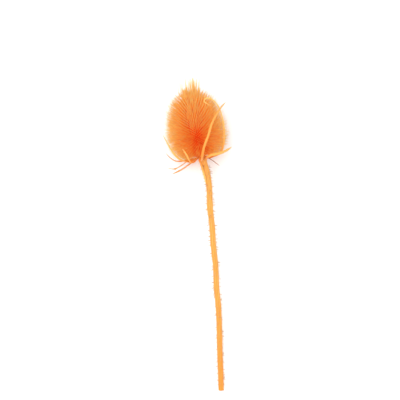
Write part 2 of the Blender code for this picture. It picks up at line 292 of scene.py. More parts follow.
def square_to(ways, hints):
    """Each hint less its part along its way, made a unit vector."""
    return unit(hints - ways * np.sum(ways * hints, axis=-1, keepdims=True))


def round_head(angles):
    """The outward direction at each angle round the head: side times cosine plus up times sine."""
    angles = np.asarray(angles, dtype=float)[..., None]
    return HEAD_SIDE * np.cos(angles) + HEAD_UP * np.sin(angles)


def head_points(along, radius, angles):
    """Base plus axis times the distance along it, plus the outward direction times the radius."""
    along = np.asarray(along, dtype=float)[..., None]
    radius = np.asarray(radius, dtype=float)[..., None]
    return HEAD_BASE + HEAD_AXIS * along + round_head(angles) * radius


def core_radius(along):
    """Egg profile: (1 - u^a)^b on each side of the belly, where u runs from 0 there to 1 at the end."""
    along = np.asarray(along, dtype=float)
    below = np.clip((CORE_BELLY - along) / (CORE_BELLY + CORE_FOOT), 0.0, 1.0)
    above = np.clip((along - CORE_BELLY) / (CORE_LENGTH - CORE_BELLY), 0.0, 1.0)
    blunt = (1.0 - below ** CORE_BLUNT[0]) ** CORE_BLUNT[1]
    drawn = (1.0 - above ** CORE_DRAWN[0]) ** CORE_DRAWN[1]
    return CORE_RADIUS * np.where(along < CORE_BELLY, blunt, drawn)


def smooth_path(points, step):
    """Cubic pieces through the points, with slopes from their neighbours, read at an even step."""
    points = np.array(points, dtype=float)
    spans = np.linalg.norm(np.diff(points, axis=0), axis=1)
    reach = np.concatenate(([0.0], np.cumsum(spans)))
    slopes = np.gradient(points, reach, axis=0)
    wanted = np.linspace(0.0, reach[-1], max(3, round(reach[-1] / step) + 1))
    found = np.clip(np.searchsorted(reach, wanted, side="right") - 1, 0, len(spans) - 1)
    width = spans[found][:, None]
    part = ((wanted - reach[found]) / spans[found])[:, None]
    return (
        (2 * part ** 3 - 3 * part ** 2 + 1) * points[found]
        + (part ** 3 - 2 * part ** 2 + part) * width * slopes[found]
        + (3 * part ** 2 - 2 * part ** 3) * points[found + 1]
        + (part ** 3 - part ** 2) * width * slopes[found + 1]
    )


def ring_walls(rings, corners):
    """The four-sided faces between rings of points that follow each other, each with as many corners."""
    ring, corner = np.meshgrid(np.arange(rings - 1), np.arange(corners), indexing="ij")
    first = ring * corners
    after = (corner + 1) % corners
    ahead = first + corners
    return np.stack((first + corner, first + after, ahead + after, ahead + corner), axis=-1).reshape(-1, 4)


def taper(tip, more, power=1.0):
    """The width of a needle at a share t of the way to its tip: tip + more (1 - t)^p."""
    return lambda share: tip + more * (1.0 - share) ** power


def needles(roots, tips, outer, wide, bow=0.0, thin=0.62, stations=AWN_STATIONS, floor=0.0):
    """Tapering needles, all in one set of arrays: points, faces and the share of the way to the tip.

    A centre line is root + (tip - root) t + outer (27 / 4) t^2 (1 - t) bow, so that it bends most near its
    tip. Across it lies a diamond, wide(t) from side to side and thin times that deep.
    """
    share = np.array(stations)
    count = len(roots)
    ways = unit(tips - roots)
    outer = square_to(ways, outer)
    side = np.cross(ways, outer)
    centre = roots[:, None] + (tips - roots)[:, None] * share[None, :, None]
    swing = BOW_SCALE * share ** 2 * (1.0 - share)
    centre = centre + outer[:, None] * (np.reshape(bow, (-1, 1, 1)) * swing[None, :, None])
    centre[..., 2] = np.maximum(centre[..., 2], floor)
    half = np.broadcast_to(wide(share)[:, None] / 2, (count, len(share), 1))
    corners = np.stack((outer, side, -outer, -side), axis=1)
    depth = np.array((thin, 1.0, thin, 1.0))
    rings = centre[:, :, None] + corners[:, None] * depth[None, None, :, None] * half[:, :, None]
    ends = tips.copy()
    ends[:, 2] = np.maximum(ends[:, 2], floor)
    points = np.concatenate((rings.reshape(count, -1, 3), ends[:, None]), axis=1)
    size = points.shape[1]
    starts = (np.arange(count) * size)[:, None, None]
    last = (len(share) - 1) * 4 + np.arange(4)
    wall = np.concatenate((ring_walls(len(share), 4), [[3, 2, 1, 0]]))
    fan = np.stack((last, np.roll(last, -1), np.full(4, size - 1)), axis=-1)
    quads = (starts + wall[None]).reshape(-1, 4)
    triangles = (starts + fan[None]).reshape(-1, 3)
    along = np.concatenate((np.repeat(share, 4), [1.0]))
    return points.reshape(-1, 3), [quads, triangles], np.tile(along, count)


def ridges(share):
    """1 on the outer edge and the tip of each needle and 0 elsewhere, in the order of needles()."""
    size = int(np.argmax(share == 1.0)) + 1
    place = np.arange(len(share)) % size
    return (place % 4 == 0).astype(float)


def carried(path, side, outer, across, up):
    """A closed profile carried along a path: path + side times across + outer times up, ends closed."""
    stations, corners = across.shape
    rings = path[:, None] + side[:, None] * across[..., None] + outer[:, None] * up[..., None]
    points = np.concatenate((rings.reshape(-1, 3), path[:1], path[-1:]))
    loop = np.arange(corners)
    ahead = np.roll(loop, -1)
    last = (stations - 1) * corners
    start = np.stack((ahead, loop, np.full(corners, stations * corners)), axis=-1)
    finish = np.stack((last + loop, last + ahead, np.full(corners, stations * corners + 1)), axis=-1)
    return points, [ring_walls(stations, corners), np.concatenate((start, finish))]


def joined(*parts):
    """Several sets of points, faces and marks put one after the other as one set."""
    offset = 0
    points, faces, marks = [], [], {}
    for part_points, part_faces, part_marks in parts:
        points.append(part_points)
        faces.extend(block + offset for block in part_faces)
        for name, values in part_marks.items():
            marks.setdefault(name, []).append(values)
        offset += len(part_points)
    return np.concatenate(points), faces, {name: np.concatenate(blocks) for name, blocks in marks.items()}


def add_piece(name, points, faces, marks, material, node):
    """Put the arrays into a mesh in metres, with its marks as attributes, and hand it to the frame."""
    mesh = bpy.data.meshes.new(name)
    corners = np.concatenate([block.ravel() for block in faces])
    sizes = np.concatenate([np.full(len(block), block.shape[1]) for block in faces])
    mesh.vertices.add(len(points))
    mesh.vertices.foreach_set("co", (points * MM).astype(np.float32).ravel())
    mesh.loops.add(len(corners))
    mesh.loops.foreach_set("vertex_index", corners.astype(np.int32))
    mesh.polygons.add(len(sizes))
    mesh.polygons.foreach_set("loop_start", (np.cumsum(sizes) - sizes).astype(np.int32))
    mesh.update(calc_edges=True)
    for label, values in marks.items():
        kind = "FLOAT" if values.ndim == 1 else "FLOAT_VECTOR"
        key = "value" if values.ndim == 1 else "vector"
        layer = mesh.attributes.new(label, kind, "POINT")
        layer.data.foreach_set(key, values.astype(np.float32).ravel())
    mesh.materials.append(material)
    mesh.shade_smooth()
    made = bpy.data.objects.new(name, mesh)
    bpy.context.scene.collection.objects.link(made)
    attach(made, "root")
    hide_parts(node)
    return made


# Finishes


class Wire:
    """A number, colour or vector on its way through a material, which can be summed and multiplied."""

    def __init__(self, finish, socket):
        self.finish = finish
        self.socket = socket

    def sum(self, operation, first, second):
        return self.finish.node("ShaderNodeMath", {"operation": operation}, {0: first, 1: second})

    def __add__(self, other):
        return self.sum("ADD", self, other)

    def __sub__(self, other):
        return self.sum("SUBTRACT", self, other)

    def __rsub__(self, other):
        return self.sum("SUBTRACT", other, self)

    def __mul__(self, other):
        return self.sum("MULTIPLY", self, other)

    def __pow__(self, other):
        return self.sum("POWER", self, other)


class Finish:
    """A material being made: its nodes, and its principled shader."""

    def __init__(self, name, roughness, specular):
        self.material = bpy.data.materials.new(name)
        self.material.use_nodes = True
        self.tree = self.material.node_tree
        self.shader = self.tree.nodes["Principled BSDF"]
        self.feed(self.shader.inputs["Roughness"], roughness)
        self.shader.inputs["Specular IOR Level"].default_value = specular

    def feed(self, socket, value):
        """Link a wire to a socket, or set the socket's own value."""
        if isinstance(value, Wire):
            self.tree.links.new(value.socket, socket)
        else:
            socket.default_value = value

    def node(self, kind, settings=None, inputs=None, output=0):
        """Any node: its settings first, with a ramp's stops among them, then its sockets."""
        made = self.tree.nodes.new(kind)
        for name, value in (settings or {}).items():
            if name != "stops":
                setattr(made, name, value)
                continue
            ramp = made.color_ramp
            while len(ramp.elements) < len(value):
                ramp.elements.new(0.5)
            for element, (place, colour) in zip(ramp.elements, value):
                element.position = place
                element.color = (*colour, 1.0)
        for name, value in (inputs or {}).items():
            self.feed(made.inputs[name], value)
        return Wire(self, made.outputs[output])

    def mark(self, name, output="Fac"):
        """A mark that the mesh carries."""
        return self.node("ShaderNodeAttribute", {"attribute_name": name}, output=output)

    def noise(self, where, scale, detail=3.0, roughness=0.55):
        """Cloudy noise from 0 to 1."""
        inputs = {"Vector": where, "Scale": scale, "Detail": detail, "Roughness": roughness}
        return self.node("ShaderNodeTexNoise", inputs=inputs)

    def stretched(self, where, scales):
        """Coordinates multiplied along each axis."""
        return self.node("ShaderNodeVectorMath", {"operation": "MULTIPLY"}, {0: where, 1: scales})

    def blend(self, factor, first, second, kind="MIX"):
        """First where the factor is 0 and second where it is 1, each a wire or a plain colour."""
        first, second = (side if isinstance(side, Wire) else (*side, 1.0) for side in (first, second))
        settings = {"data_type": "RGBA", "blend_type": kind, "clamp_factor": True}
        return self.node("ShaderNodeMix", settings, {0: factor, 6: first, 7: second}, output=2)

    def ramp(self, value, stops):
        """A colour read from stops by a value."""
        return self.node("ShaderNodeValToRGB", {"stops": stops}, {0: value})

    def within(self, value, low, high):
        """The value's place between low and high, held between 0 and 1."""
        inputs = {"Value": value, "From Min": low, "From Max": high}
        return self.node("ShaderNodeMapRange", {"clamp": True}, inputs)

    def colour(self, wire):
        """Feed the base colour."""
        self.feed(self.shader.inputs["Base Color"], wire)

    def rough(self, wire):
        """Feed the roughness."""
        self.feed(self.shader.inputs["Roughness"], wire)

    def painted_glow(self, wire, strength):
        """A painted glow: emission that stands in for light shining through thin dyed parts, lifting their
        shade.
        """
        self.feed(self.shader.inputs["Emission Color"], wire)
        self.shader.inputs["Emission Strength"].default_value = strength

    def relief(self, height, strength, distance):
        """Raise the surface by a height."""
        inputs = {"Height": height, "Strength": strength, "Distance": distance}
        self.feed(self.shader.inputs["Normal"], self.node("ShaderNodeBump", inputs=inputs))


def awn_finish():
    """Dyed awns: deep red-orange roots, partly painted shade; painted ridge highlight and flank shade;
    paler tips.
    """
    made = Finish("dyed_awn", 0.55, 0.2)
    share = made.mark("share")
    tone = made.mark("tone")
    rise = made.mark("rise")
    ridge = made.mark("ridge")
    grain = made.mark("grain", "Vector")
    fibre = made.noise(made.stretched(grain, (1.4, 9.0, 9.0)), 1.0)
    body = made.ramp(share + (fibre - 0.5) * 0.08, (
        (0.18, (0.94, 0.24, 0.010)),
        (0.42, (0.96, 0.50, 0.060)),
        (0.60, (0.94, 0.74, 0.190)),
        (0.80, (0.80, 0.71, 0.265)),
        (1.00, (0.70, 0.61, 0.36)),
    ))
    # Painted glow, strongest at the roots, lifts the shade deep between the awns
    made.painted_glow(made.ramp(share, (
        (0.10, (1.00, 0.22, 0.006)),
        (0.30, (0.88, 0.25, 0.012)),
        (0.50, (0.58, 0.15, 0.009)),
        (0.78, (0.20, 0.09, 0.010)),
        (1.00, (0.04, 0.02, 0.005)),
    )), AWN_PAINTED_GLOW)
    # Paler towards the head's top: partly the dye, partly painted light falling on the tip
    pale = made.blend((rise ** 3.0) * 0.60, body, (0.74, 0.52, 0.16))
    # Painted shade: deep red over the roots and flanks, fading towards the tips
    painted_shade = made.blend(1.0 - (share ** 2.0) * 0.75, pale, (0.72, 0.080, 0.003))
    # Painted highlight: the pale colour on each outer ridge, painted shade on the other corners
    ridge_highlight_flank_shade = made.blend(made.within(ridge, 0.20, 0.80), painted_shade, pale)
    drift = made.blend(tone * 0.14, ridge_highlight_flank_shade, (0.84, 0.22, 0.014))
    lines = made.within(fibre, 0.35, 0.75) * 0.25
    made.colour(made.blend(lines, drift, (1.0, 0.85, 0.65), "MULTIPLY"))
    made.rough(made.within(fibre, 0.0, 1.0) * 0.25 + 0.42)
    made.relief(fibre, 0.35, 0.00025)
    return made.material


def receptacle_finish():
    """The body under the scales: deep red-orange, blotched and rough, with a painted glow."""
    made = Finish("dyed_receptacle", 0.8, 0.1)
    where = made.node("ShaderNodeTexCoord", output="Object")
    cloud = made.noise(where, 260.0, 4.0)
    # Darker than the awns: partly the dye, partly painted shade in the gaps between the scales
    dyed = made.ramp(cloud, ((0.30, (0.64, 0.035, 0.002)), (0.70, (0.78, 0.06, 0.003))))
    made.colour(dyed)
    # Painted glow in the gaps between the scales
    made.painted_glow(dyed, RECEPTACLE_PAINTED_GLOW)
    made.rough(cloud * 0.3 + 0.6)
    made.relief(cloud, 0.6, 0.0006)
    return made.material


def stalk_finish():
    """The stem: pale yellow-orange ribs, painted shade in the grooves, lengthwise fibres and a pithy cut.
    """
    made = Finish("dyed_stalk", 0.45, 0.35)
    grain = made.mark("grain", "Vector")
    groove = made.mark("groove")
    pith = made.mark("pith")
    fibre = made.noise(made.stretched(grain, (0.10, 2.6, 2.6)), 1.0, 5.0, 0.65)
    fine = made.noise(made.stretched(grain, (0.35, 9.0, 9.0)), 1.0, 3.0, 0.6)
    cloud = made.noise(made.stretched(grain, (0.03, 0.25, 0.25)), 1.0, 3.0)
    down = made.within(made.node("ShaderNodeSeparateXYZ", inputs={0: grain}), 30.0, 210.0)
    dyed = made.blend(made.within(fibre, 0.38, 0.66), (0.77, 0.50, 0.125), (0.75, 0.36, 0.055))
    # Deeper orange further from the head: partly painted shade, the stem lit less towards its cut
    dyed = made.blend(down * down * 0.85, dyed, (0.80, 0.30, 0.036))
    # Painted shade: deeper orange in the grooves between the ribs
    dyed = made.blend(groove * 0.75, dyed, (0.80, 0.24, 0.025))
    dyed = made.blend(made.within(cloud, 0.50, 0.78) * 0.6, dyed, (0.84, 0.32, 0.045))
    dyed = made.blend(made.within(fine, 0.54, 0.70) * 0.55, dyed, (0.62, 0.22, 0.030))
    cut = made.blend(made.within(fine, 0.3, 0.7), (0.93, 0.62, 0.28), (0.85, 0.42, 0.12))
    made.colour(made.blend(pith, dyed, cut))
    made.rough(made.within(fibre, 0.2, 0.8) * 0.22 + 0.36 + pith * 0.3)
    made.relief(fine * 0.5 + fibre, 0.45, 0.0004)
    return made.material


def bract_finish():
    """The bracts: deep orange at the foot, yellow-orange beyond, painted highlight on the keel, streaked
    by fibres.

    A tone of 0 to 1 deepens the dye, and one of 1 to 2 turns it into dry brown.
    """
    made = Finish("dyed_bract", 0.42, 0.35)
    share = made.mark("share")
    keel = made.mark("keel")
    tone = made.mark("tone")
    grain = made.mark("grain", "Vector")
    fibre = made.noise(made.stretched(grain, (0.25, 6.0, 6.0)), 1.0, 4.0, 0.6)
    body = made.ramp(share, (
        (0.00, (0.86, 0.25, 0.020)),
        (0.30, (0.88, 0.27, 0.030)),
        (0.62, (0.90, 0.46, 0.100)),
        (1.00, (0.90, 0.56, 0.165)),
    ))
    # Painted highlight on the raised keel, stronger towards the tip
    lit = made.blend(keel * share * 0.50, body, (0.92, 0.56, 0.17))
    streaked = made.blend(made.within(fibre, 0.42, 0.72) * 0.4, lit, (0.82, 0.28, 0.03))
    dyed = made.blend(made.within(tone, 0.0, 1.0) * 0.8, streaked, (0.84, 0.26, 0.03))
    made.colour(made.blend(made.within(tone, 1.0, 2.0), dyed, (0.16, 0.06, 0.03)))
    made.rough(fibre * 0.25 + 0.32)
    made.relief(fibre, 0.4, 0.0003)
    return made.material


def prickle_finish():
    """Prickles: orange at the foot, grey-brown and dry at the point."""
    made = Finish("dyed_prickle", 0.5, 0.3)
    share = made.mark("share")
    grain = made.mark("grain", "Vector")
    fleck = made.noise(made.stretched(grain, (2.0, 2.0, 2.0)), 1.0)
    body = made.ramp(share + (fleck - 0.5) * 0.2, (
        (0.05, (0.80, 0.42, 0.10)),
        (0.35, (0.64, 0.36, 0.14)),
        (1.00, (0.28, 0.22, 0.19)),
    ))
    made.colour(body)
    made.rough(fleck * 0.3 + 0.4)
    return made.material


def chaff_finish():
    """Dry flakes of old florets, almost without dye."""
    made = Finish("pale_chaff", 0.6, 0.3)
    grain = made.mark("grain", "Vector")
    cloud = made.noise(made.stretched(grain, (1.5, 1.5, 1.5)), 1.0)
    made.colour(made.ramp(cloud, ((0.3, (0.95, 0.50, 0.20)), (0.7, (0.98, 0.74, 0.48)))))
    made.rough(cloud * 0.3 + 0.45)
    return made.material


def floor_finish():
    """A pale matte table."""
    made = Finish("pale_table", 0.9, 0.2)
    where = made.node("ShaderNodeTexCoord", output="Object")
    cloud = made.noise(where, 2.0, 2.0)
    made.colour(made.blend(cloud, (0.93, 0.93, 0.92), (0.96, 0.96, 0.955)))
    return made.material


# Pieces of the head


def even_places(count, start, end):
    """Distances along the head that give each of a count of awns the same share of the core's area."""
    along = np.linspace(start, end, CORE_STRIPS)
    radius = core_radius(along)
    strip = np.hypot(np.gradient(along), np.gradient(radius)) * radius
    share = np.cumsum(strip) / strip.sum()
    return np.interp((np.arange(count) + 0.5) / count, share, along)


def awn_lean(along):
    """The lean from the axis and the bend of an awn, read from the table at its distance along it."""
    places, leans, bends = zip(*AWN_LEANS)
    return np.radians(np.interp(along, places, leans)), np.radians(np.interp(along, places, bends))


def awn_width(share):
    """A stout awn that comes to a point: tip + more (1 - t^2)."""
    tip, more = AWN_WIDTHS
    return tip + more * (1.0 - share ** 2.0)


def chaff_width(share):
    """A flake that is broadest half way: end + more t (1 - t)."""
    end, more = CHAFF_WIDTHS
    return end + more * share * (1.0 - share)


def scale_places(number):
    """Distances along the head and turns round it of the scales, counted ring by ring from its foot.

    Ring w has its scales at turns 2 pi (i + w / 2) / n, so that the rows run evenly to both sides.
    """
    ring = number // WHORL_AWNS
    turn = math.tau * (number % WHORL_AWNS + 0.5 * (ring % 2)) / WHORL_AWNS
    return even_places(WHORL_COUNT, AWN_START, AWN_END)[ring], turn


def awn_lines(along, turn, lean, bend, length):
    """Roots sunk in the core, tips, outward directions and bows of awns, each bent up towards its tip.

    They are shorter at the foot of the head, and shorten again towards its top.
    """
    grown = np.clip((along - AWN_START) / (AWN_FULL_AT - AWN_START), 0.0, 1.0)
    closing = np.clip((along - AWN_SHORTEN_FROM) / (CORE_LENGTH - AWN_SHORTEN_FROM), 0.0, 1.0)
    length = length * (AWN_BASE_SHARE + (1.0 - AWN_BASE_SHARE) * grown) * (1.0 - AWN_SHORTEN * closing)
    radius = core_radius(along)
    sunk = np.minimum(AWN_SUNK, radius * AWN_SUNK_SHARE)
    roots = head_points(along - np.cos(lean) * sunk, radius - np.sin(lean) * sunk, turn)
    tips = head_points(along + np.cos(lean) * length, radius + np.sin(lean) * length, turn)
    outer = round_head(turn) * np.cos(lean)[:, None] - HEAD_AXIS * np.sin(lean)[:, None]
    return roots, tips, outer, np.linalg.norm(tips - roots, axis=1) * np.tan(bend) / BOW_SCALE


def awn_marks(points, share, ridge, tone, rise, shift, dye=(0.0, 1.0), grain=15.0):
    """The marks that the awns' finish reads.

    The tone, rise and shift have one value for each awn. The shift sets its grain apart from the others'.
    """
    size = len(share) // len(tone)
    lengthwise = share * grain + np.repeat(shift, size)
    return {
        # The share picks the awn's place on its ramps of dye, painted shade and painted glow
        "share": dye[0] + dye[1] * share,
        "ridge": np.broadcast_to(ridge, share.shape),
        "tone": np.repeat(tone, size),
        "rise": np.repeat(rise, size),
        "grain": np.stack((lengthwise, points[:, 1], points[:, 2]), axis=-1),
    }


def awned_scales(draw, material):
    """Scales in crossing rows, each drawn out into a stiff upcurved awn."""
    count = WHORL_COUNT * WHORL_AWNS
    number = np.arange(count)
    along, turn = scale_places(number)
    turn = turn + draw.uniform(-AWN_TURN_DRAW, AWN_TURN_DRAW, count)
    lean, bend = awn_lean(along)
    lean = lean + draw.uniform(-AWN_LEAN_DRAW, AWN_LEAN_DRAW, count)
    length = AWN_LENGTH * draw.uniform(*AWN_LENGTH_DRAW, count)
    roots, tips, outer, bow = awn_lines(along, turn, lean, bend, length)
    points, faces, share = needles(roots, tips, outer, awn_width, bow=bow, floor=AWN_FLOOR)
    tone = draw.uniform(0.0, 1.0, count)
    marks = awn_marks(points, share, ridges(share), tone, along / CORE_LENGTH, number * AWN_GRAIN_SHIFT)
    add_piece("awned_scales", points, faces, marks, material, "seed_head")


def fine_bristles(draw, material):
    """Thinner, longer awns that stand beside others in the same rows, and soften the outline."""
    count = BRISTLE_COUNT
    along, turn = scale_places(np.arange(count) * BRISTLE_STRIDE % (WHORL_COUNT * WHORL_AWNS))
    along = along + draw.normal(0.0, BRISTLE_ALONG_DRAW, count)
    turn = turn + draw.normal(0.0, BRISTLE_TURN_DRAW, count)
    lean, bend = awn_lean(along)
    lean = lean + draw.normal(0.0, BRISTLE_LEAN_DRAW, count)
    length = AWN_LENGTH * draw.uniform(*BRISTLE_LENGTH_DRAW, count)
    roots, tips, outer, bow = awn_lines(along, turn, lean, bend, length)
    points, faces, share = needles(
        roots, tips, outer, taper(*BRISTLE_WIDTHS), bow=bow, stations=BRISTLE_STATIONS, floor=AWN_FLOOR)
    tone = draw.uniform(0.0, 0.6, count)
    rise = np.clip(along / CORE_LENGTH, 0.0, 1.0)
    marks = awn_marks(points, share, 0.6, tone, rise, np.zeros(count), dye=(0.17, 0.56))
    add_piece("fine_bristles", points, faces, marks, material, "seed_head")


def terminal_tuft(draw, material):
    """The long awns that crown the tip: a close bundle within a looser one, both turned a little aside."""
    number = np.arange(TUFT_COUNT)
    spread = np.sqrt((number + 0.5) / TUFT_COUNT)
    turn = number * GOLDEN_ANGLE
    close = number % TUFT_GROUP < TUFT_CLOSE
    reach = spread * np.where(close, *TUFT_REACH)
    along = CORE_LENGTH - TUFT_DEPTH - spread * TUFT_FALL
    lean = spread * TUFT_LEAN + draw.normal(0.0, TUFT_LEAN_DRAW, TUFT_COUNT)
    length = TUFT_LENGTH + draw.uniform(*TUFT_LENGTH_DRAW, TUFT_COUNT)
    aside = HEAD_SIDE * np.where(close, *TUFT_ASIDE)[:, None]
    roots = head_points(along, reach, turn) + aside
    tips = head_points(along + np.cos(lean) * length, reach + np.sin(lean) * length, turn) + aside
    tips = tips + HEAD_SIDE * (length * TUFT_TURN)[:, None]
    points, faces, share = needles(roots, tips, round_head(turn), taper(*TUFT_WIDTHS), bow=TUFT_BOW)
    tone = draw.uniform(0.0, 0.5, TUFT_COUNT)
    rise = np.ones(TUFT_COUNT)
    shift = number * TUFT_GRAIN_SHIFT
    marks = awn_marks(points, share, 0.7, tone, rise, shift, dye=(0.30, 0.45), grain=18.0)
    add_piece("terminal_tuft", points, faces, marks, material, "seed_head")


def receptacle(material):
    """The body that carries the scales: the egg profile, drawn in, turned about the head's axis.

    It starts a little inside the stem, as wide as the collar there.
    """
    rows = np.linspace(RECEPTACLE_START, RECEPTACLE_END, RECEPTACLE_ROWS)
    along = np.concatenate(([RECEPTACLE_FOOT], rows))
    radius = np.concatenate(([STEM_RADII[0]], core_radius(rows) * RECEPTACLE_SHARE))
    turns = np.linspace(0.0, math.tau, RECEPTACLE_AROUND, endpoint=False)
    path = HEAD_BASE + HEAD_AXIS * along[:, None]
    side = np.broadcast_to(HEAD_SIDE, path.shape)
    up = np.broadcast_to(HEAD_UP, path.shape)
    ripple = 1.0 + RECEPTACLE_RIPPLE * np.sin(21 * turns[None, :] + 0.9 * along[:, None])
    girth = radius[:, None] * ripple
    points, faces = carried(path, up, side, girth * np.sin(turns), girth * np.cos(turns))
    add_piece("receptacle", points, faces, {}, material, "seed_head")


def chaff(draw, material):
    """Small dry flakes of old florets, caught between the awns at chance places."""
    along = draw.uniform(*CHAFF_ALONG, CHAFF_COUNT)
    turn = draw.uniform(0.0, math.tau, CHAFF_COUNT)
    radius = core_radius(along) + draw.uniform(*CHAFF_HEIGHT, CHAFF_COUNT)
    lean = awn_lean(along)[0] + draw.normal(0.0, CHAFF_LEAN_DRAW, CHAFF_COUNT)
    length = draw.uniform(*CHAFF_LENGTH, CHAFF_COUNT)
    roots = head_points(along, radius, turn)
    tips = head_points(along + np.cos(lean) * length, radius + np.sin(lean) * length, turn)
    outer = round_head(turn + draw.normal(0.0, CHAFF_TURN_DRAW, CHAFF_COUNT))
    points, faces, _ = needles(
        roots, tips, outer, chaff_width, thin=CHAFF_THIN, stations=CHAFF_STATIONS)
    add_piece("floret_chaff", points, faces, {"grain": points}, material, "seed_head")


# The stem


def stem_radius(gone):
    """A collar that falls off as a bell curve, a long even taper, and a low swelling at each node."""
    collar, top, end = STEM_RADII
    radius = top + (end - top) * np.clip(gone / STEM_TAPER_LENGTH, 0.0, 1.0)
    radius = radius + (collar - top) * np.exp(-((gone / STEM_COLLAR_LENGTH) ** 2))
    for place in STEM_NODES:
        radius = radius + STEM_NODE_SWELL * np.exp(-(((gone - place) / STEM_NODE_LENGTH) ** 2))
    return radius


def stem_frames():
    """The stem's path, the distance along it, its directions, and its side and upper sides.

    At its top the directions are turned into the head's axis, and that falls off as e^(-distance / c).
    """
    path = smooth_path(np.array(STEM_ROUTE) + HEAD_BASE, STEM_STEP)
    ways = unit(np.gradient(path, axis=0))
    gone = np.concatenate(([0.0], np.cumsum(np.linalg.norm(np.diff(path, axis=0), axis=1))))
    turned = np.exp(-gone / STEM_TURN_LENGTH)[:, None]
    ways = unit(ways * (1.0 - turned) - HEAD_AXIS * turned)
    side = square_to(ways, np.broadcast_to((0.0, 1.0, 0.0), ways.shape))
    return path, gone, ways, side, np.cross(ways, side)


def stem_twist(gone):
    """How far the ribs have turned round the stem at each distance: an even twist and a slow sway."""
    swing, length = STEM_SWAY
    return STEM_TWIST * gone + swing * np.sin(gone / length)


def rib_height(gone, turns):
    """Ribs as a rounded wave round the stem, turning slowly along it: a power of |cos|, less its mean."""
    cosine = np.cos((turns[None, :] + stem_twist(gone)[:, None]) * STEM_RIBS / 2.0)
    wave = np.abs(cosine) ** STEM_RIB_POWER
    least, more, length = STEM_RIB_UNEVEN
    uneven = least + more * np.sin(2.0 * turns[None, :] + gone[:, None] / length)
    return (wave - STEM_RIB_MEAN) * uneven


def knob_height(gone, turns):
    """Low knobs between the ribs: a sine along the stem, set off by another one round it."""
    fast, round_it, slow = STEM_KNOB_WAVES
    return np.sin(gone[:, None] * fast + round_it * np.sin(turns)[None, :] + gone[:, None] * slow)


def stalk(material):
    """The ribbed stem carried along its route, and its square cut: a woody rim round sunken pith."""
    path, gone, ways, side, above = stem_frames()
    turns = np.linspace(0.0, math.tau, STEM_AROUND, endpoint=False)
    ribs = rib_height(gone, turns)
    grown = np.clip(gone / STEM_COLLAR_LENGTH, STEM_RIB_LEAST, 1.0)[:, None]
    knobs = knob_height(gone, turns)
    uneven = 1.0 + 2.0 * STEM_RIB_DEPTH * ribs * grown + STEM_KNOB_DEPTH * knobs
    radius = stem_radius(gone)[:, None] * uneven
    shares, drops, pithy = np.transpose(STEM_CUT)
    rows, steps = len(path), len(STEM_CUT)
    path = np.concatenate((path, path[-1] + ways[-1] * drops[:, None]))
    side = np.concatenate((side, np.repeat(side[-1:], steps, axis=0)))
    above = np.concatenate((above, np.repeat(above[-1:], steps, axis=0)))
    radius = np.concatenate((radius, radius[-1] * shares[:, None]))
    across, up = radius * np.sin(turns), radius * np.cos(turns)
    points, faces = carried(path, above, side, across, up)
    points[:, 2] = np.maximum(points[:, 2], 0.0)
    far = np.concatenate((gone, np.full(steps, gone[-1])))
    groove = np.clip(STEM_GROOVE[0] - ribs * STEM_GROOVE[1], 0.0, 1.0)
    groove = np.concatenate((groove, np.zeros((steps, STEM_AROUND))))
    pith = np.concatenate((np.zeros(rows), pithy))
    straight = np.stack((np.repeat(far, STEM_AROUND), up.ravel(), across.ravel()), axis=-1)
    marks = {
        "groove": np.concatenate((groove.ravel(), (0.0, 0.0))),
        "pith": np.concatenate((np.repeat(pith, STEM_AROUND), (0.0, 1.0))),
        "grain": np.concatenate((straight, ((0.0, 0.0, 0.0), (far[-1], 0.0, 0.0)))),
    }
    add_piece("stalk", points, faces, marks, material, "stem")


def stalk_prickles(draw, material):
    """Short prickles on the ribs, swollen at the foot, denser and longer near the head."""
    path, gone, ways, side, above = stem_frames()
    share = (np.arange(PRICKLE_COUNT) + draw.uniform(*PRICKLE_PLACE_DRAW, PRICKLE_COUNT)) / PRICKLE_COUNT
    place = PRICKLE_START + (gone[-1] - PRICKLE_START - PRICKLE_END_GAP) * share ** PRICKLE_THINNING
    rib = draw.integers(0, STEM_RIBS, PRICKLE_COUNT)
    turn = math.tau * rib / STEM_RIBS - stem_twist(place)
    turn = turn + draw.normal(0.0, PRICKLE_TURN_DRAW, PRICKLE_COUNT)

    def read(values):
        return np.stack([np.interp(place, gone, values[:, axis]) for axis in range(3)], axis=-1)

    centre, way, right, top = read(path), read(ways), read(side), read(above)
    outward = right * np.cos(turn)[:, None] + top * np.sin(turn)[:, None]
    shorter = PRICKLE_SHORTEN[0] - PRICKLE_SHORTEN[1] * share
    length = draw.uniform(*PRICKLE_LENGTH, PRICKLE_COUNT) * shorter
    slant = length * draw.uniform(*PRICKLE_SLANT, PRICKLE_COUNT)
    radius = stem_radius(place)
    roots = centre + outward * (radius * PRICKLE_ROOT)[:, None]
    tips = centre + outward * (radius + length)[:, None] + way * slant[:, None]
    keep = tips[:, 2] > PRICKLE_FLOOR
    wide = taper(*PRICKLE_WIDTHS, PRICKLE_SWELL)
    points, faces, along = needles(
        roots[keep], tips[keep], way[keep], wide, bow=PRICKLE_BOW, thin=PRICKLE_THIN)
    marks = {"share": along, "grain": points}
    add_piece("stalk_prickles", points, faces, marks, material, "stem")


# The bracts


def bract_frames(degrees, steps):
    """A bract's path out of the head's base, its directions, its outward side and its edge side."""
    angle = math.radians(degrees)
    root = head_points(BRACT_ROOT[1], BRACT_ROOT[0], angle)
    near = head_points(BRACT_NEAR[1], BRACT_NEAR[0], angle)
    path = smooth_path(np.vstack((root, near, np.array(steps) + HEAD_BASE)), BRACT_STEP)
    ways = unit(np.gradient(path, axis=0))
    along = (path - HEAD_BASE) @ HEAD_AXIS
    outer = square_to(ways, path - HEAD_BASE - HEAD_AXIS * along[:, None])
    return path, ways, outer, np.cross(ways, outer)


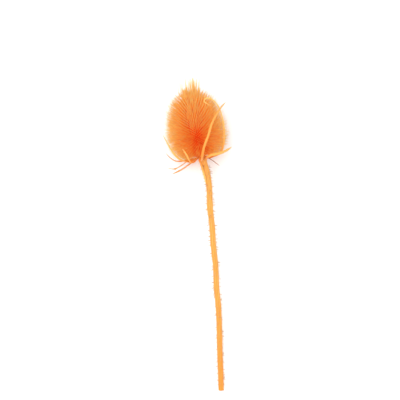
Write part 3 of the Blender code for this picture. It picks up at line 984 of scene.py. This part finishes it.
def bract_blade(path, outer, side, wide, tone):
    """The blade of a bract: a shallow lens with a raised keel, carried along its route.

    Across is half the width times cosine. Up is the thickness times sine, plus the keel, which is a high
    power of the sine where that is positive.
    """
    rows = len(path)
    thick = np.maximum(BRACT_THICKNESS * wide, BRACT_LEAST_THICKNESS)
    turns = np.linspace(0.0, math.tau, BRACT_AROUND, endpoint=False)
    lens = np.sin(turns)
    keel = np.clip(lens, 0.0, 1.0) ** BRACT_KEEL_POWER
    across = wide[:, None] / 2 * np.cos(turns)
    up = thick[:, None] * (np.where(lens > 0, *BRACT_FACES) * lens + BRACT_KEEL * keel)
    points, faces = carried(path, -side, outer, across, up)
    share = np.linspace(0.0, 1.0, rows)
    distance = np.repeat(share * rows * BRACT_STEP, BRACT_AROUND)
    grain = np.stack((distance, across.ravel(), up.ravel()), axis=-1)
    marks = {
        "share": np.concatenate((np.repeat(share, BRACT_AROUND), (0.0, 1.0))),
        "keel": np.concatenate((np.tile(keel, rows), (0.0, 0.0))),
        "tone": np.full(len(points), tone),
        "grain": np.concatenate((grain, np.zeros((2, 3)))),
    }
    return points, faces, marks


def bract_spines(draw, path, ways, outer, side, wide, tone):
    """Small spines that lean forwards from the two edges of a bract in turn."""
    spots = np.arange(SPINE_FIRST, len(path) - SPINE_LAST, SPINE_EVERY)
    hand = np.where(np.arange(len(spots)) % 2 == 0, 1.0, -1.0)[:, None]
    edge = path[spots] + side[spots] * hand * wide[spots, None] * SPINE_SEAT
    length = draw.uniform(*SPINE_LENGTH, len(spots))[:, None]
    ends = edge + (side[spots] * hand + ways[spots] * SPINE_FORWARD) * length
    points, faces, share = needles(
        edge, ends, outer[spots], taper(*SPINE_WIDTHS), stations=SPINE_STATIONS)
    marks = {
        "share": 0.5 + 0.5 * share,
        "keel": np.zeros(len(points)),
        "tone": np.full(len(points), tone),
        "grain": points,
    }
    return points, faces, marks


def bract_leaf(draw, node, degrees, width, tone, blunt, steps, material):
    """A bract with its spines, broadest at its foot and drawn out to its tip.

    Its width is (width + foot e^(-t / f)) (1 - t^blunt)^p, wavering a little, plus that of the tip.
    """
    path, ways, outer, side = bract_frames(degrees, steps)
    share = np.linspace(0.0, 1.0, len(path))
    waver = 1.0 + BRACT_WAVER * np.sin(share * BRACT_WAVES + degrees)
    foot = BRACT_FOOT_WIDTH * np.exp(-share / BRACT_FOOT_SHARE)
    wide = (width + foot) * (1.0 - share ** blunt) ** BRACT_END_POWER * waver + BRACT_TIP_WIDTH
    points, faces, marks = joined(
        bract_blade(path, outer, side, wide, tone),
        bract_spines(draw, path, ways, outer, side, wide, tone))
    points[:, 2] = np.maximum(points[:, 2], BRACT_FLOOR)
    add_piece(node + "_leaf", points, faces, marks, material, node)


# Floor, light and camera


def add_floor(material):
    """A pale table under the teasel."""
    mesh = bpy.data.meshes.new("table")
    reach = TABLE_REACH
    corners = [(-reach, -reach, 0), (reach, -reach, 0), (reach, reach, 0), (-reach, reach, 0)]
    mesh.from_pydata(corners, [], [(0, 1, 2, 3)])
    mesh.materials.append(material)
    table = bpy.data.objects.new("table", mesh)
    bpy.context.scene.collection.objects.link(table)


def add_light():
    """A square soft light above and to the left, which faces the head."""
    light = bpy.data.lights.new("key", "AREA")
    light.shape = "SQUARE"
    light.size = LIGHT_SIZE
    light.energy = LIGHT_POWER
    made = bpy.data.objects.new("key", light)
    made.location = LIGHT_PLACE
    way = np.array(LIGHT_AIM) - np.array(LIGHT_PLACE)
    pitch = math.acos(-way[2] / np.linalg.norm(way))
    made.rotation_euler = (pitch, 0.0, math.atan2(way[1], way[0]) - math.pi / 2)
    bpy.context.scene.collection.objects.link(made)


def add_camera():
    """A long lens straight above, with the tip of the head at the top of the picture."""
    camera = bpy.data.cameras.new("camera")
    camera.lens = LENS
    camera.sensor_width = SENSOR
    distance = PHOTO_WIDTH * LENS / SENSOR
    made = bpy.data.objects.new("camera", camera)
    x, y, z = PHOTO_CENTRE
    made.location = (x * MM, y * MM, (z + distance) * MM)
    made.rotation_euler = (0.0, 0.0, math.pi / 2)
    bpy.context.scene.collection.objects.link(made)
    bpy.context.scene.camera = made


def add_world():
    """Even pale light from all round."""
    world = bpy.data.worlds.new("studio")
    world.use_nodes = True
    backdrop = world.node_tree.nodes["Background"]
    backdrop.inputs["Color"].default_value = (1.0, 1.0, 1.0, 1.0)
    backdrop.inputs["Strength"].default_value = WORLD_STRENGTH
    bpy.context.scene.world = world


draw = np.random.default_rng(SEED)
awn_material = awn_finish()
prickle_material = prickle_finish()
bract_material = bract_finish()
receptacle(receptacle_finish())
awned_scales(draw, awn_material)
fine_bristles(draw, awn_material)
terminal_tuft(draw, awn_material)
chaff(draw, chaff_finish())
stalk(stalk_finish())
stalk_prickles(draw, prickle_material)
for bract in BRACTS:
    bract_leaf(draw, *bract, bract_material)

add_floor(floor_finish())
add_world()
add_light()
add_camera()
bpy.context.scene.view_settings.view_transform = "Standard"
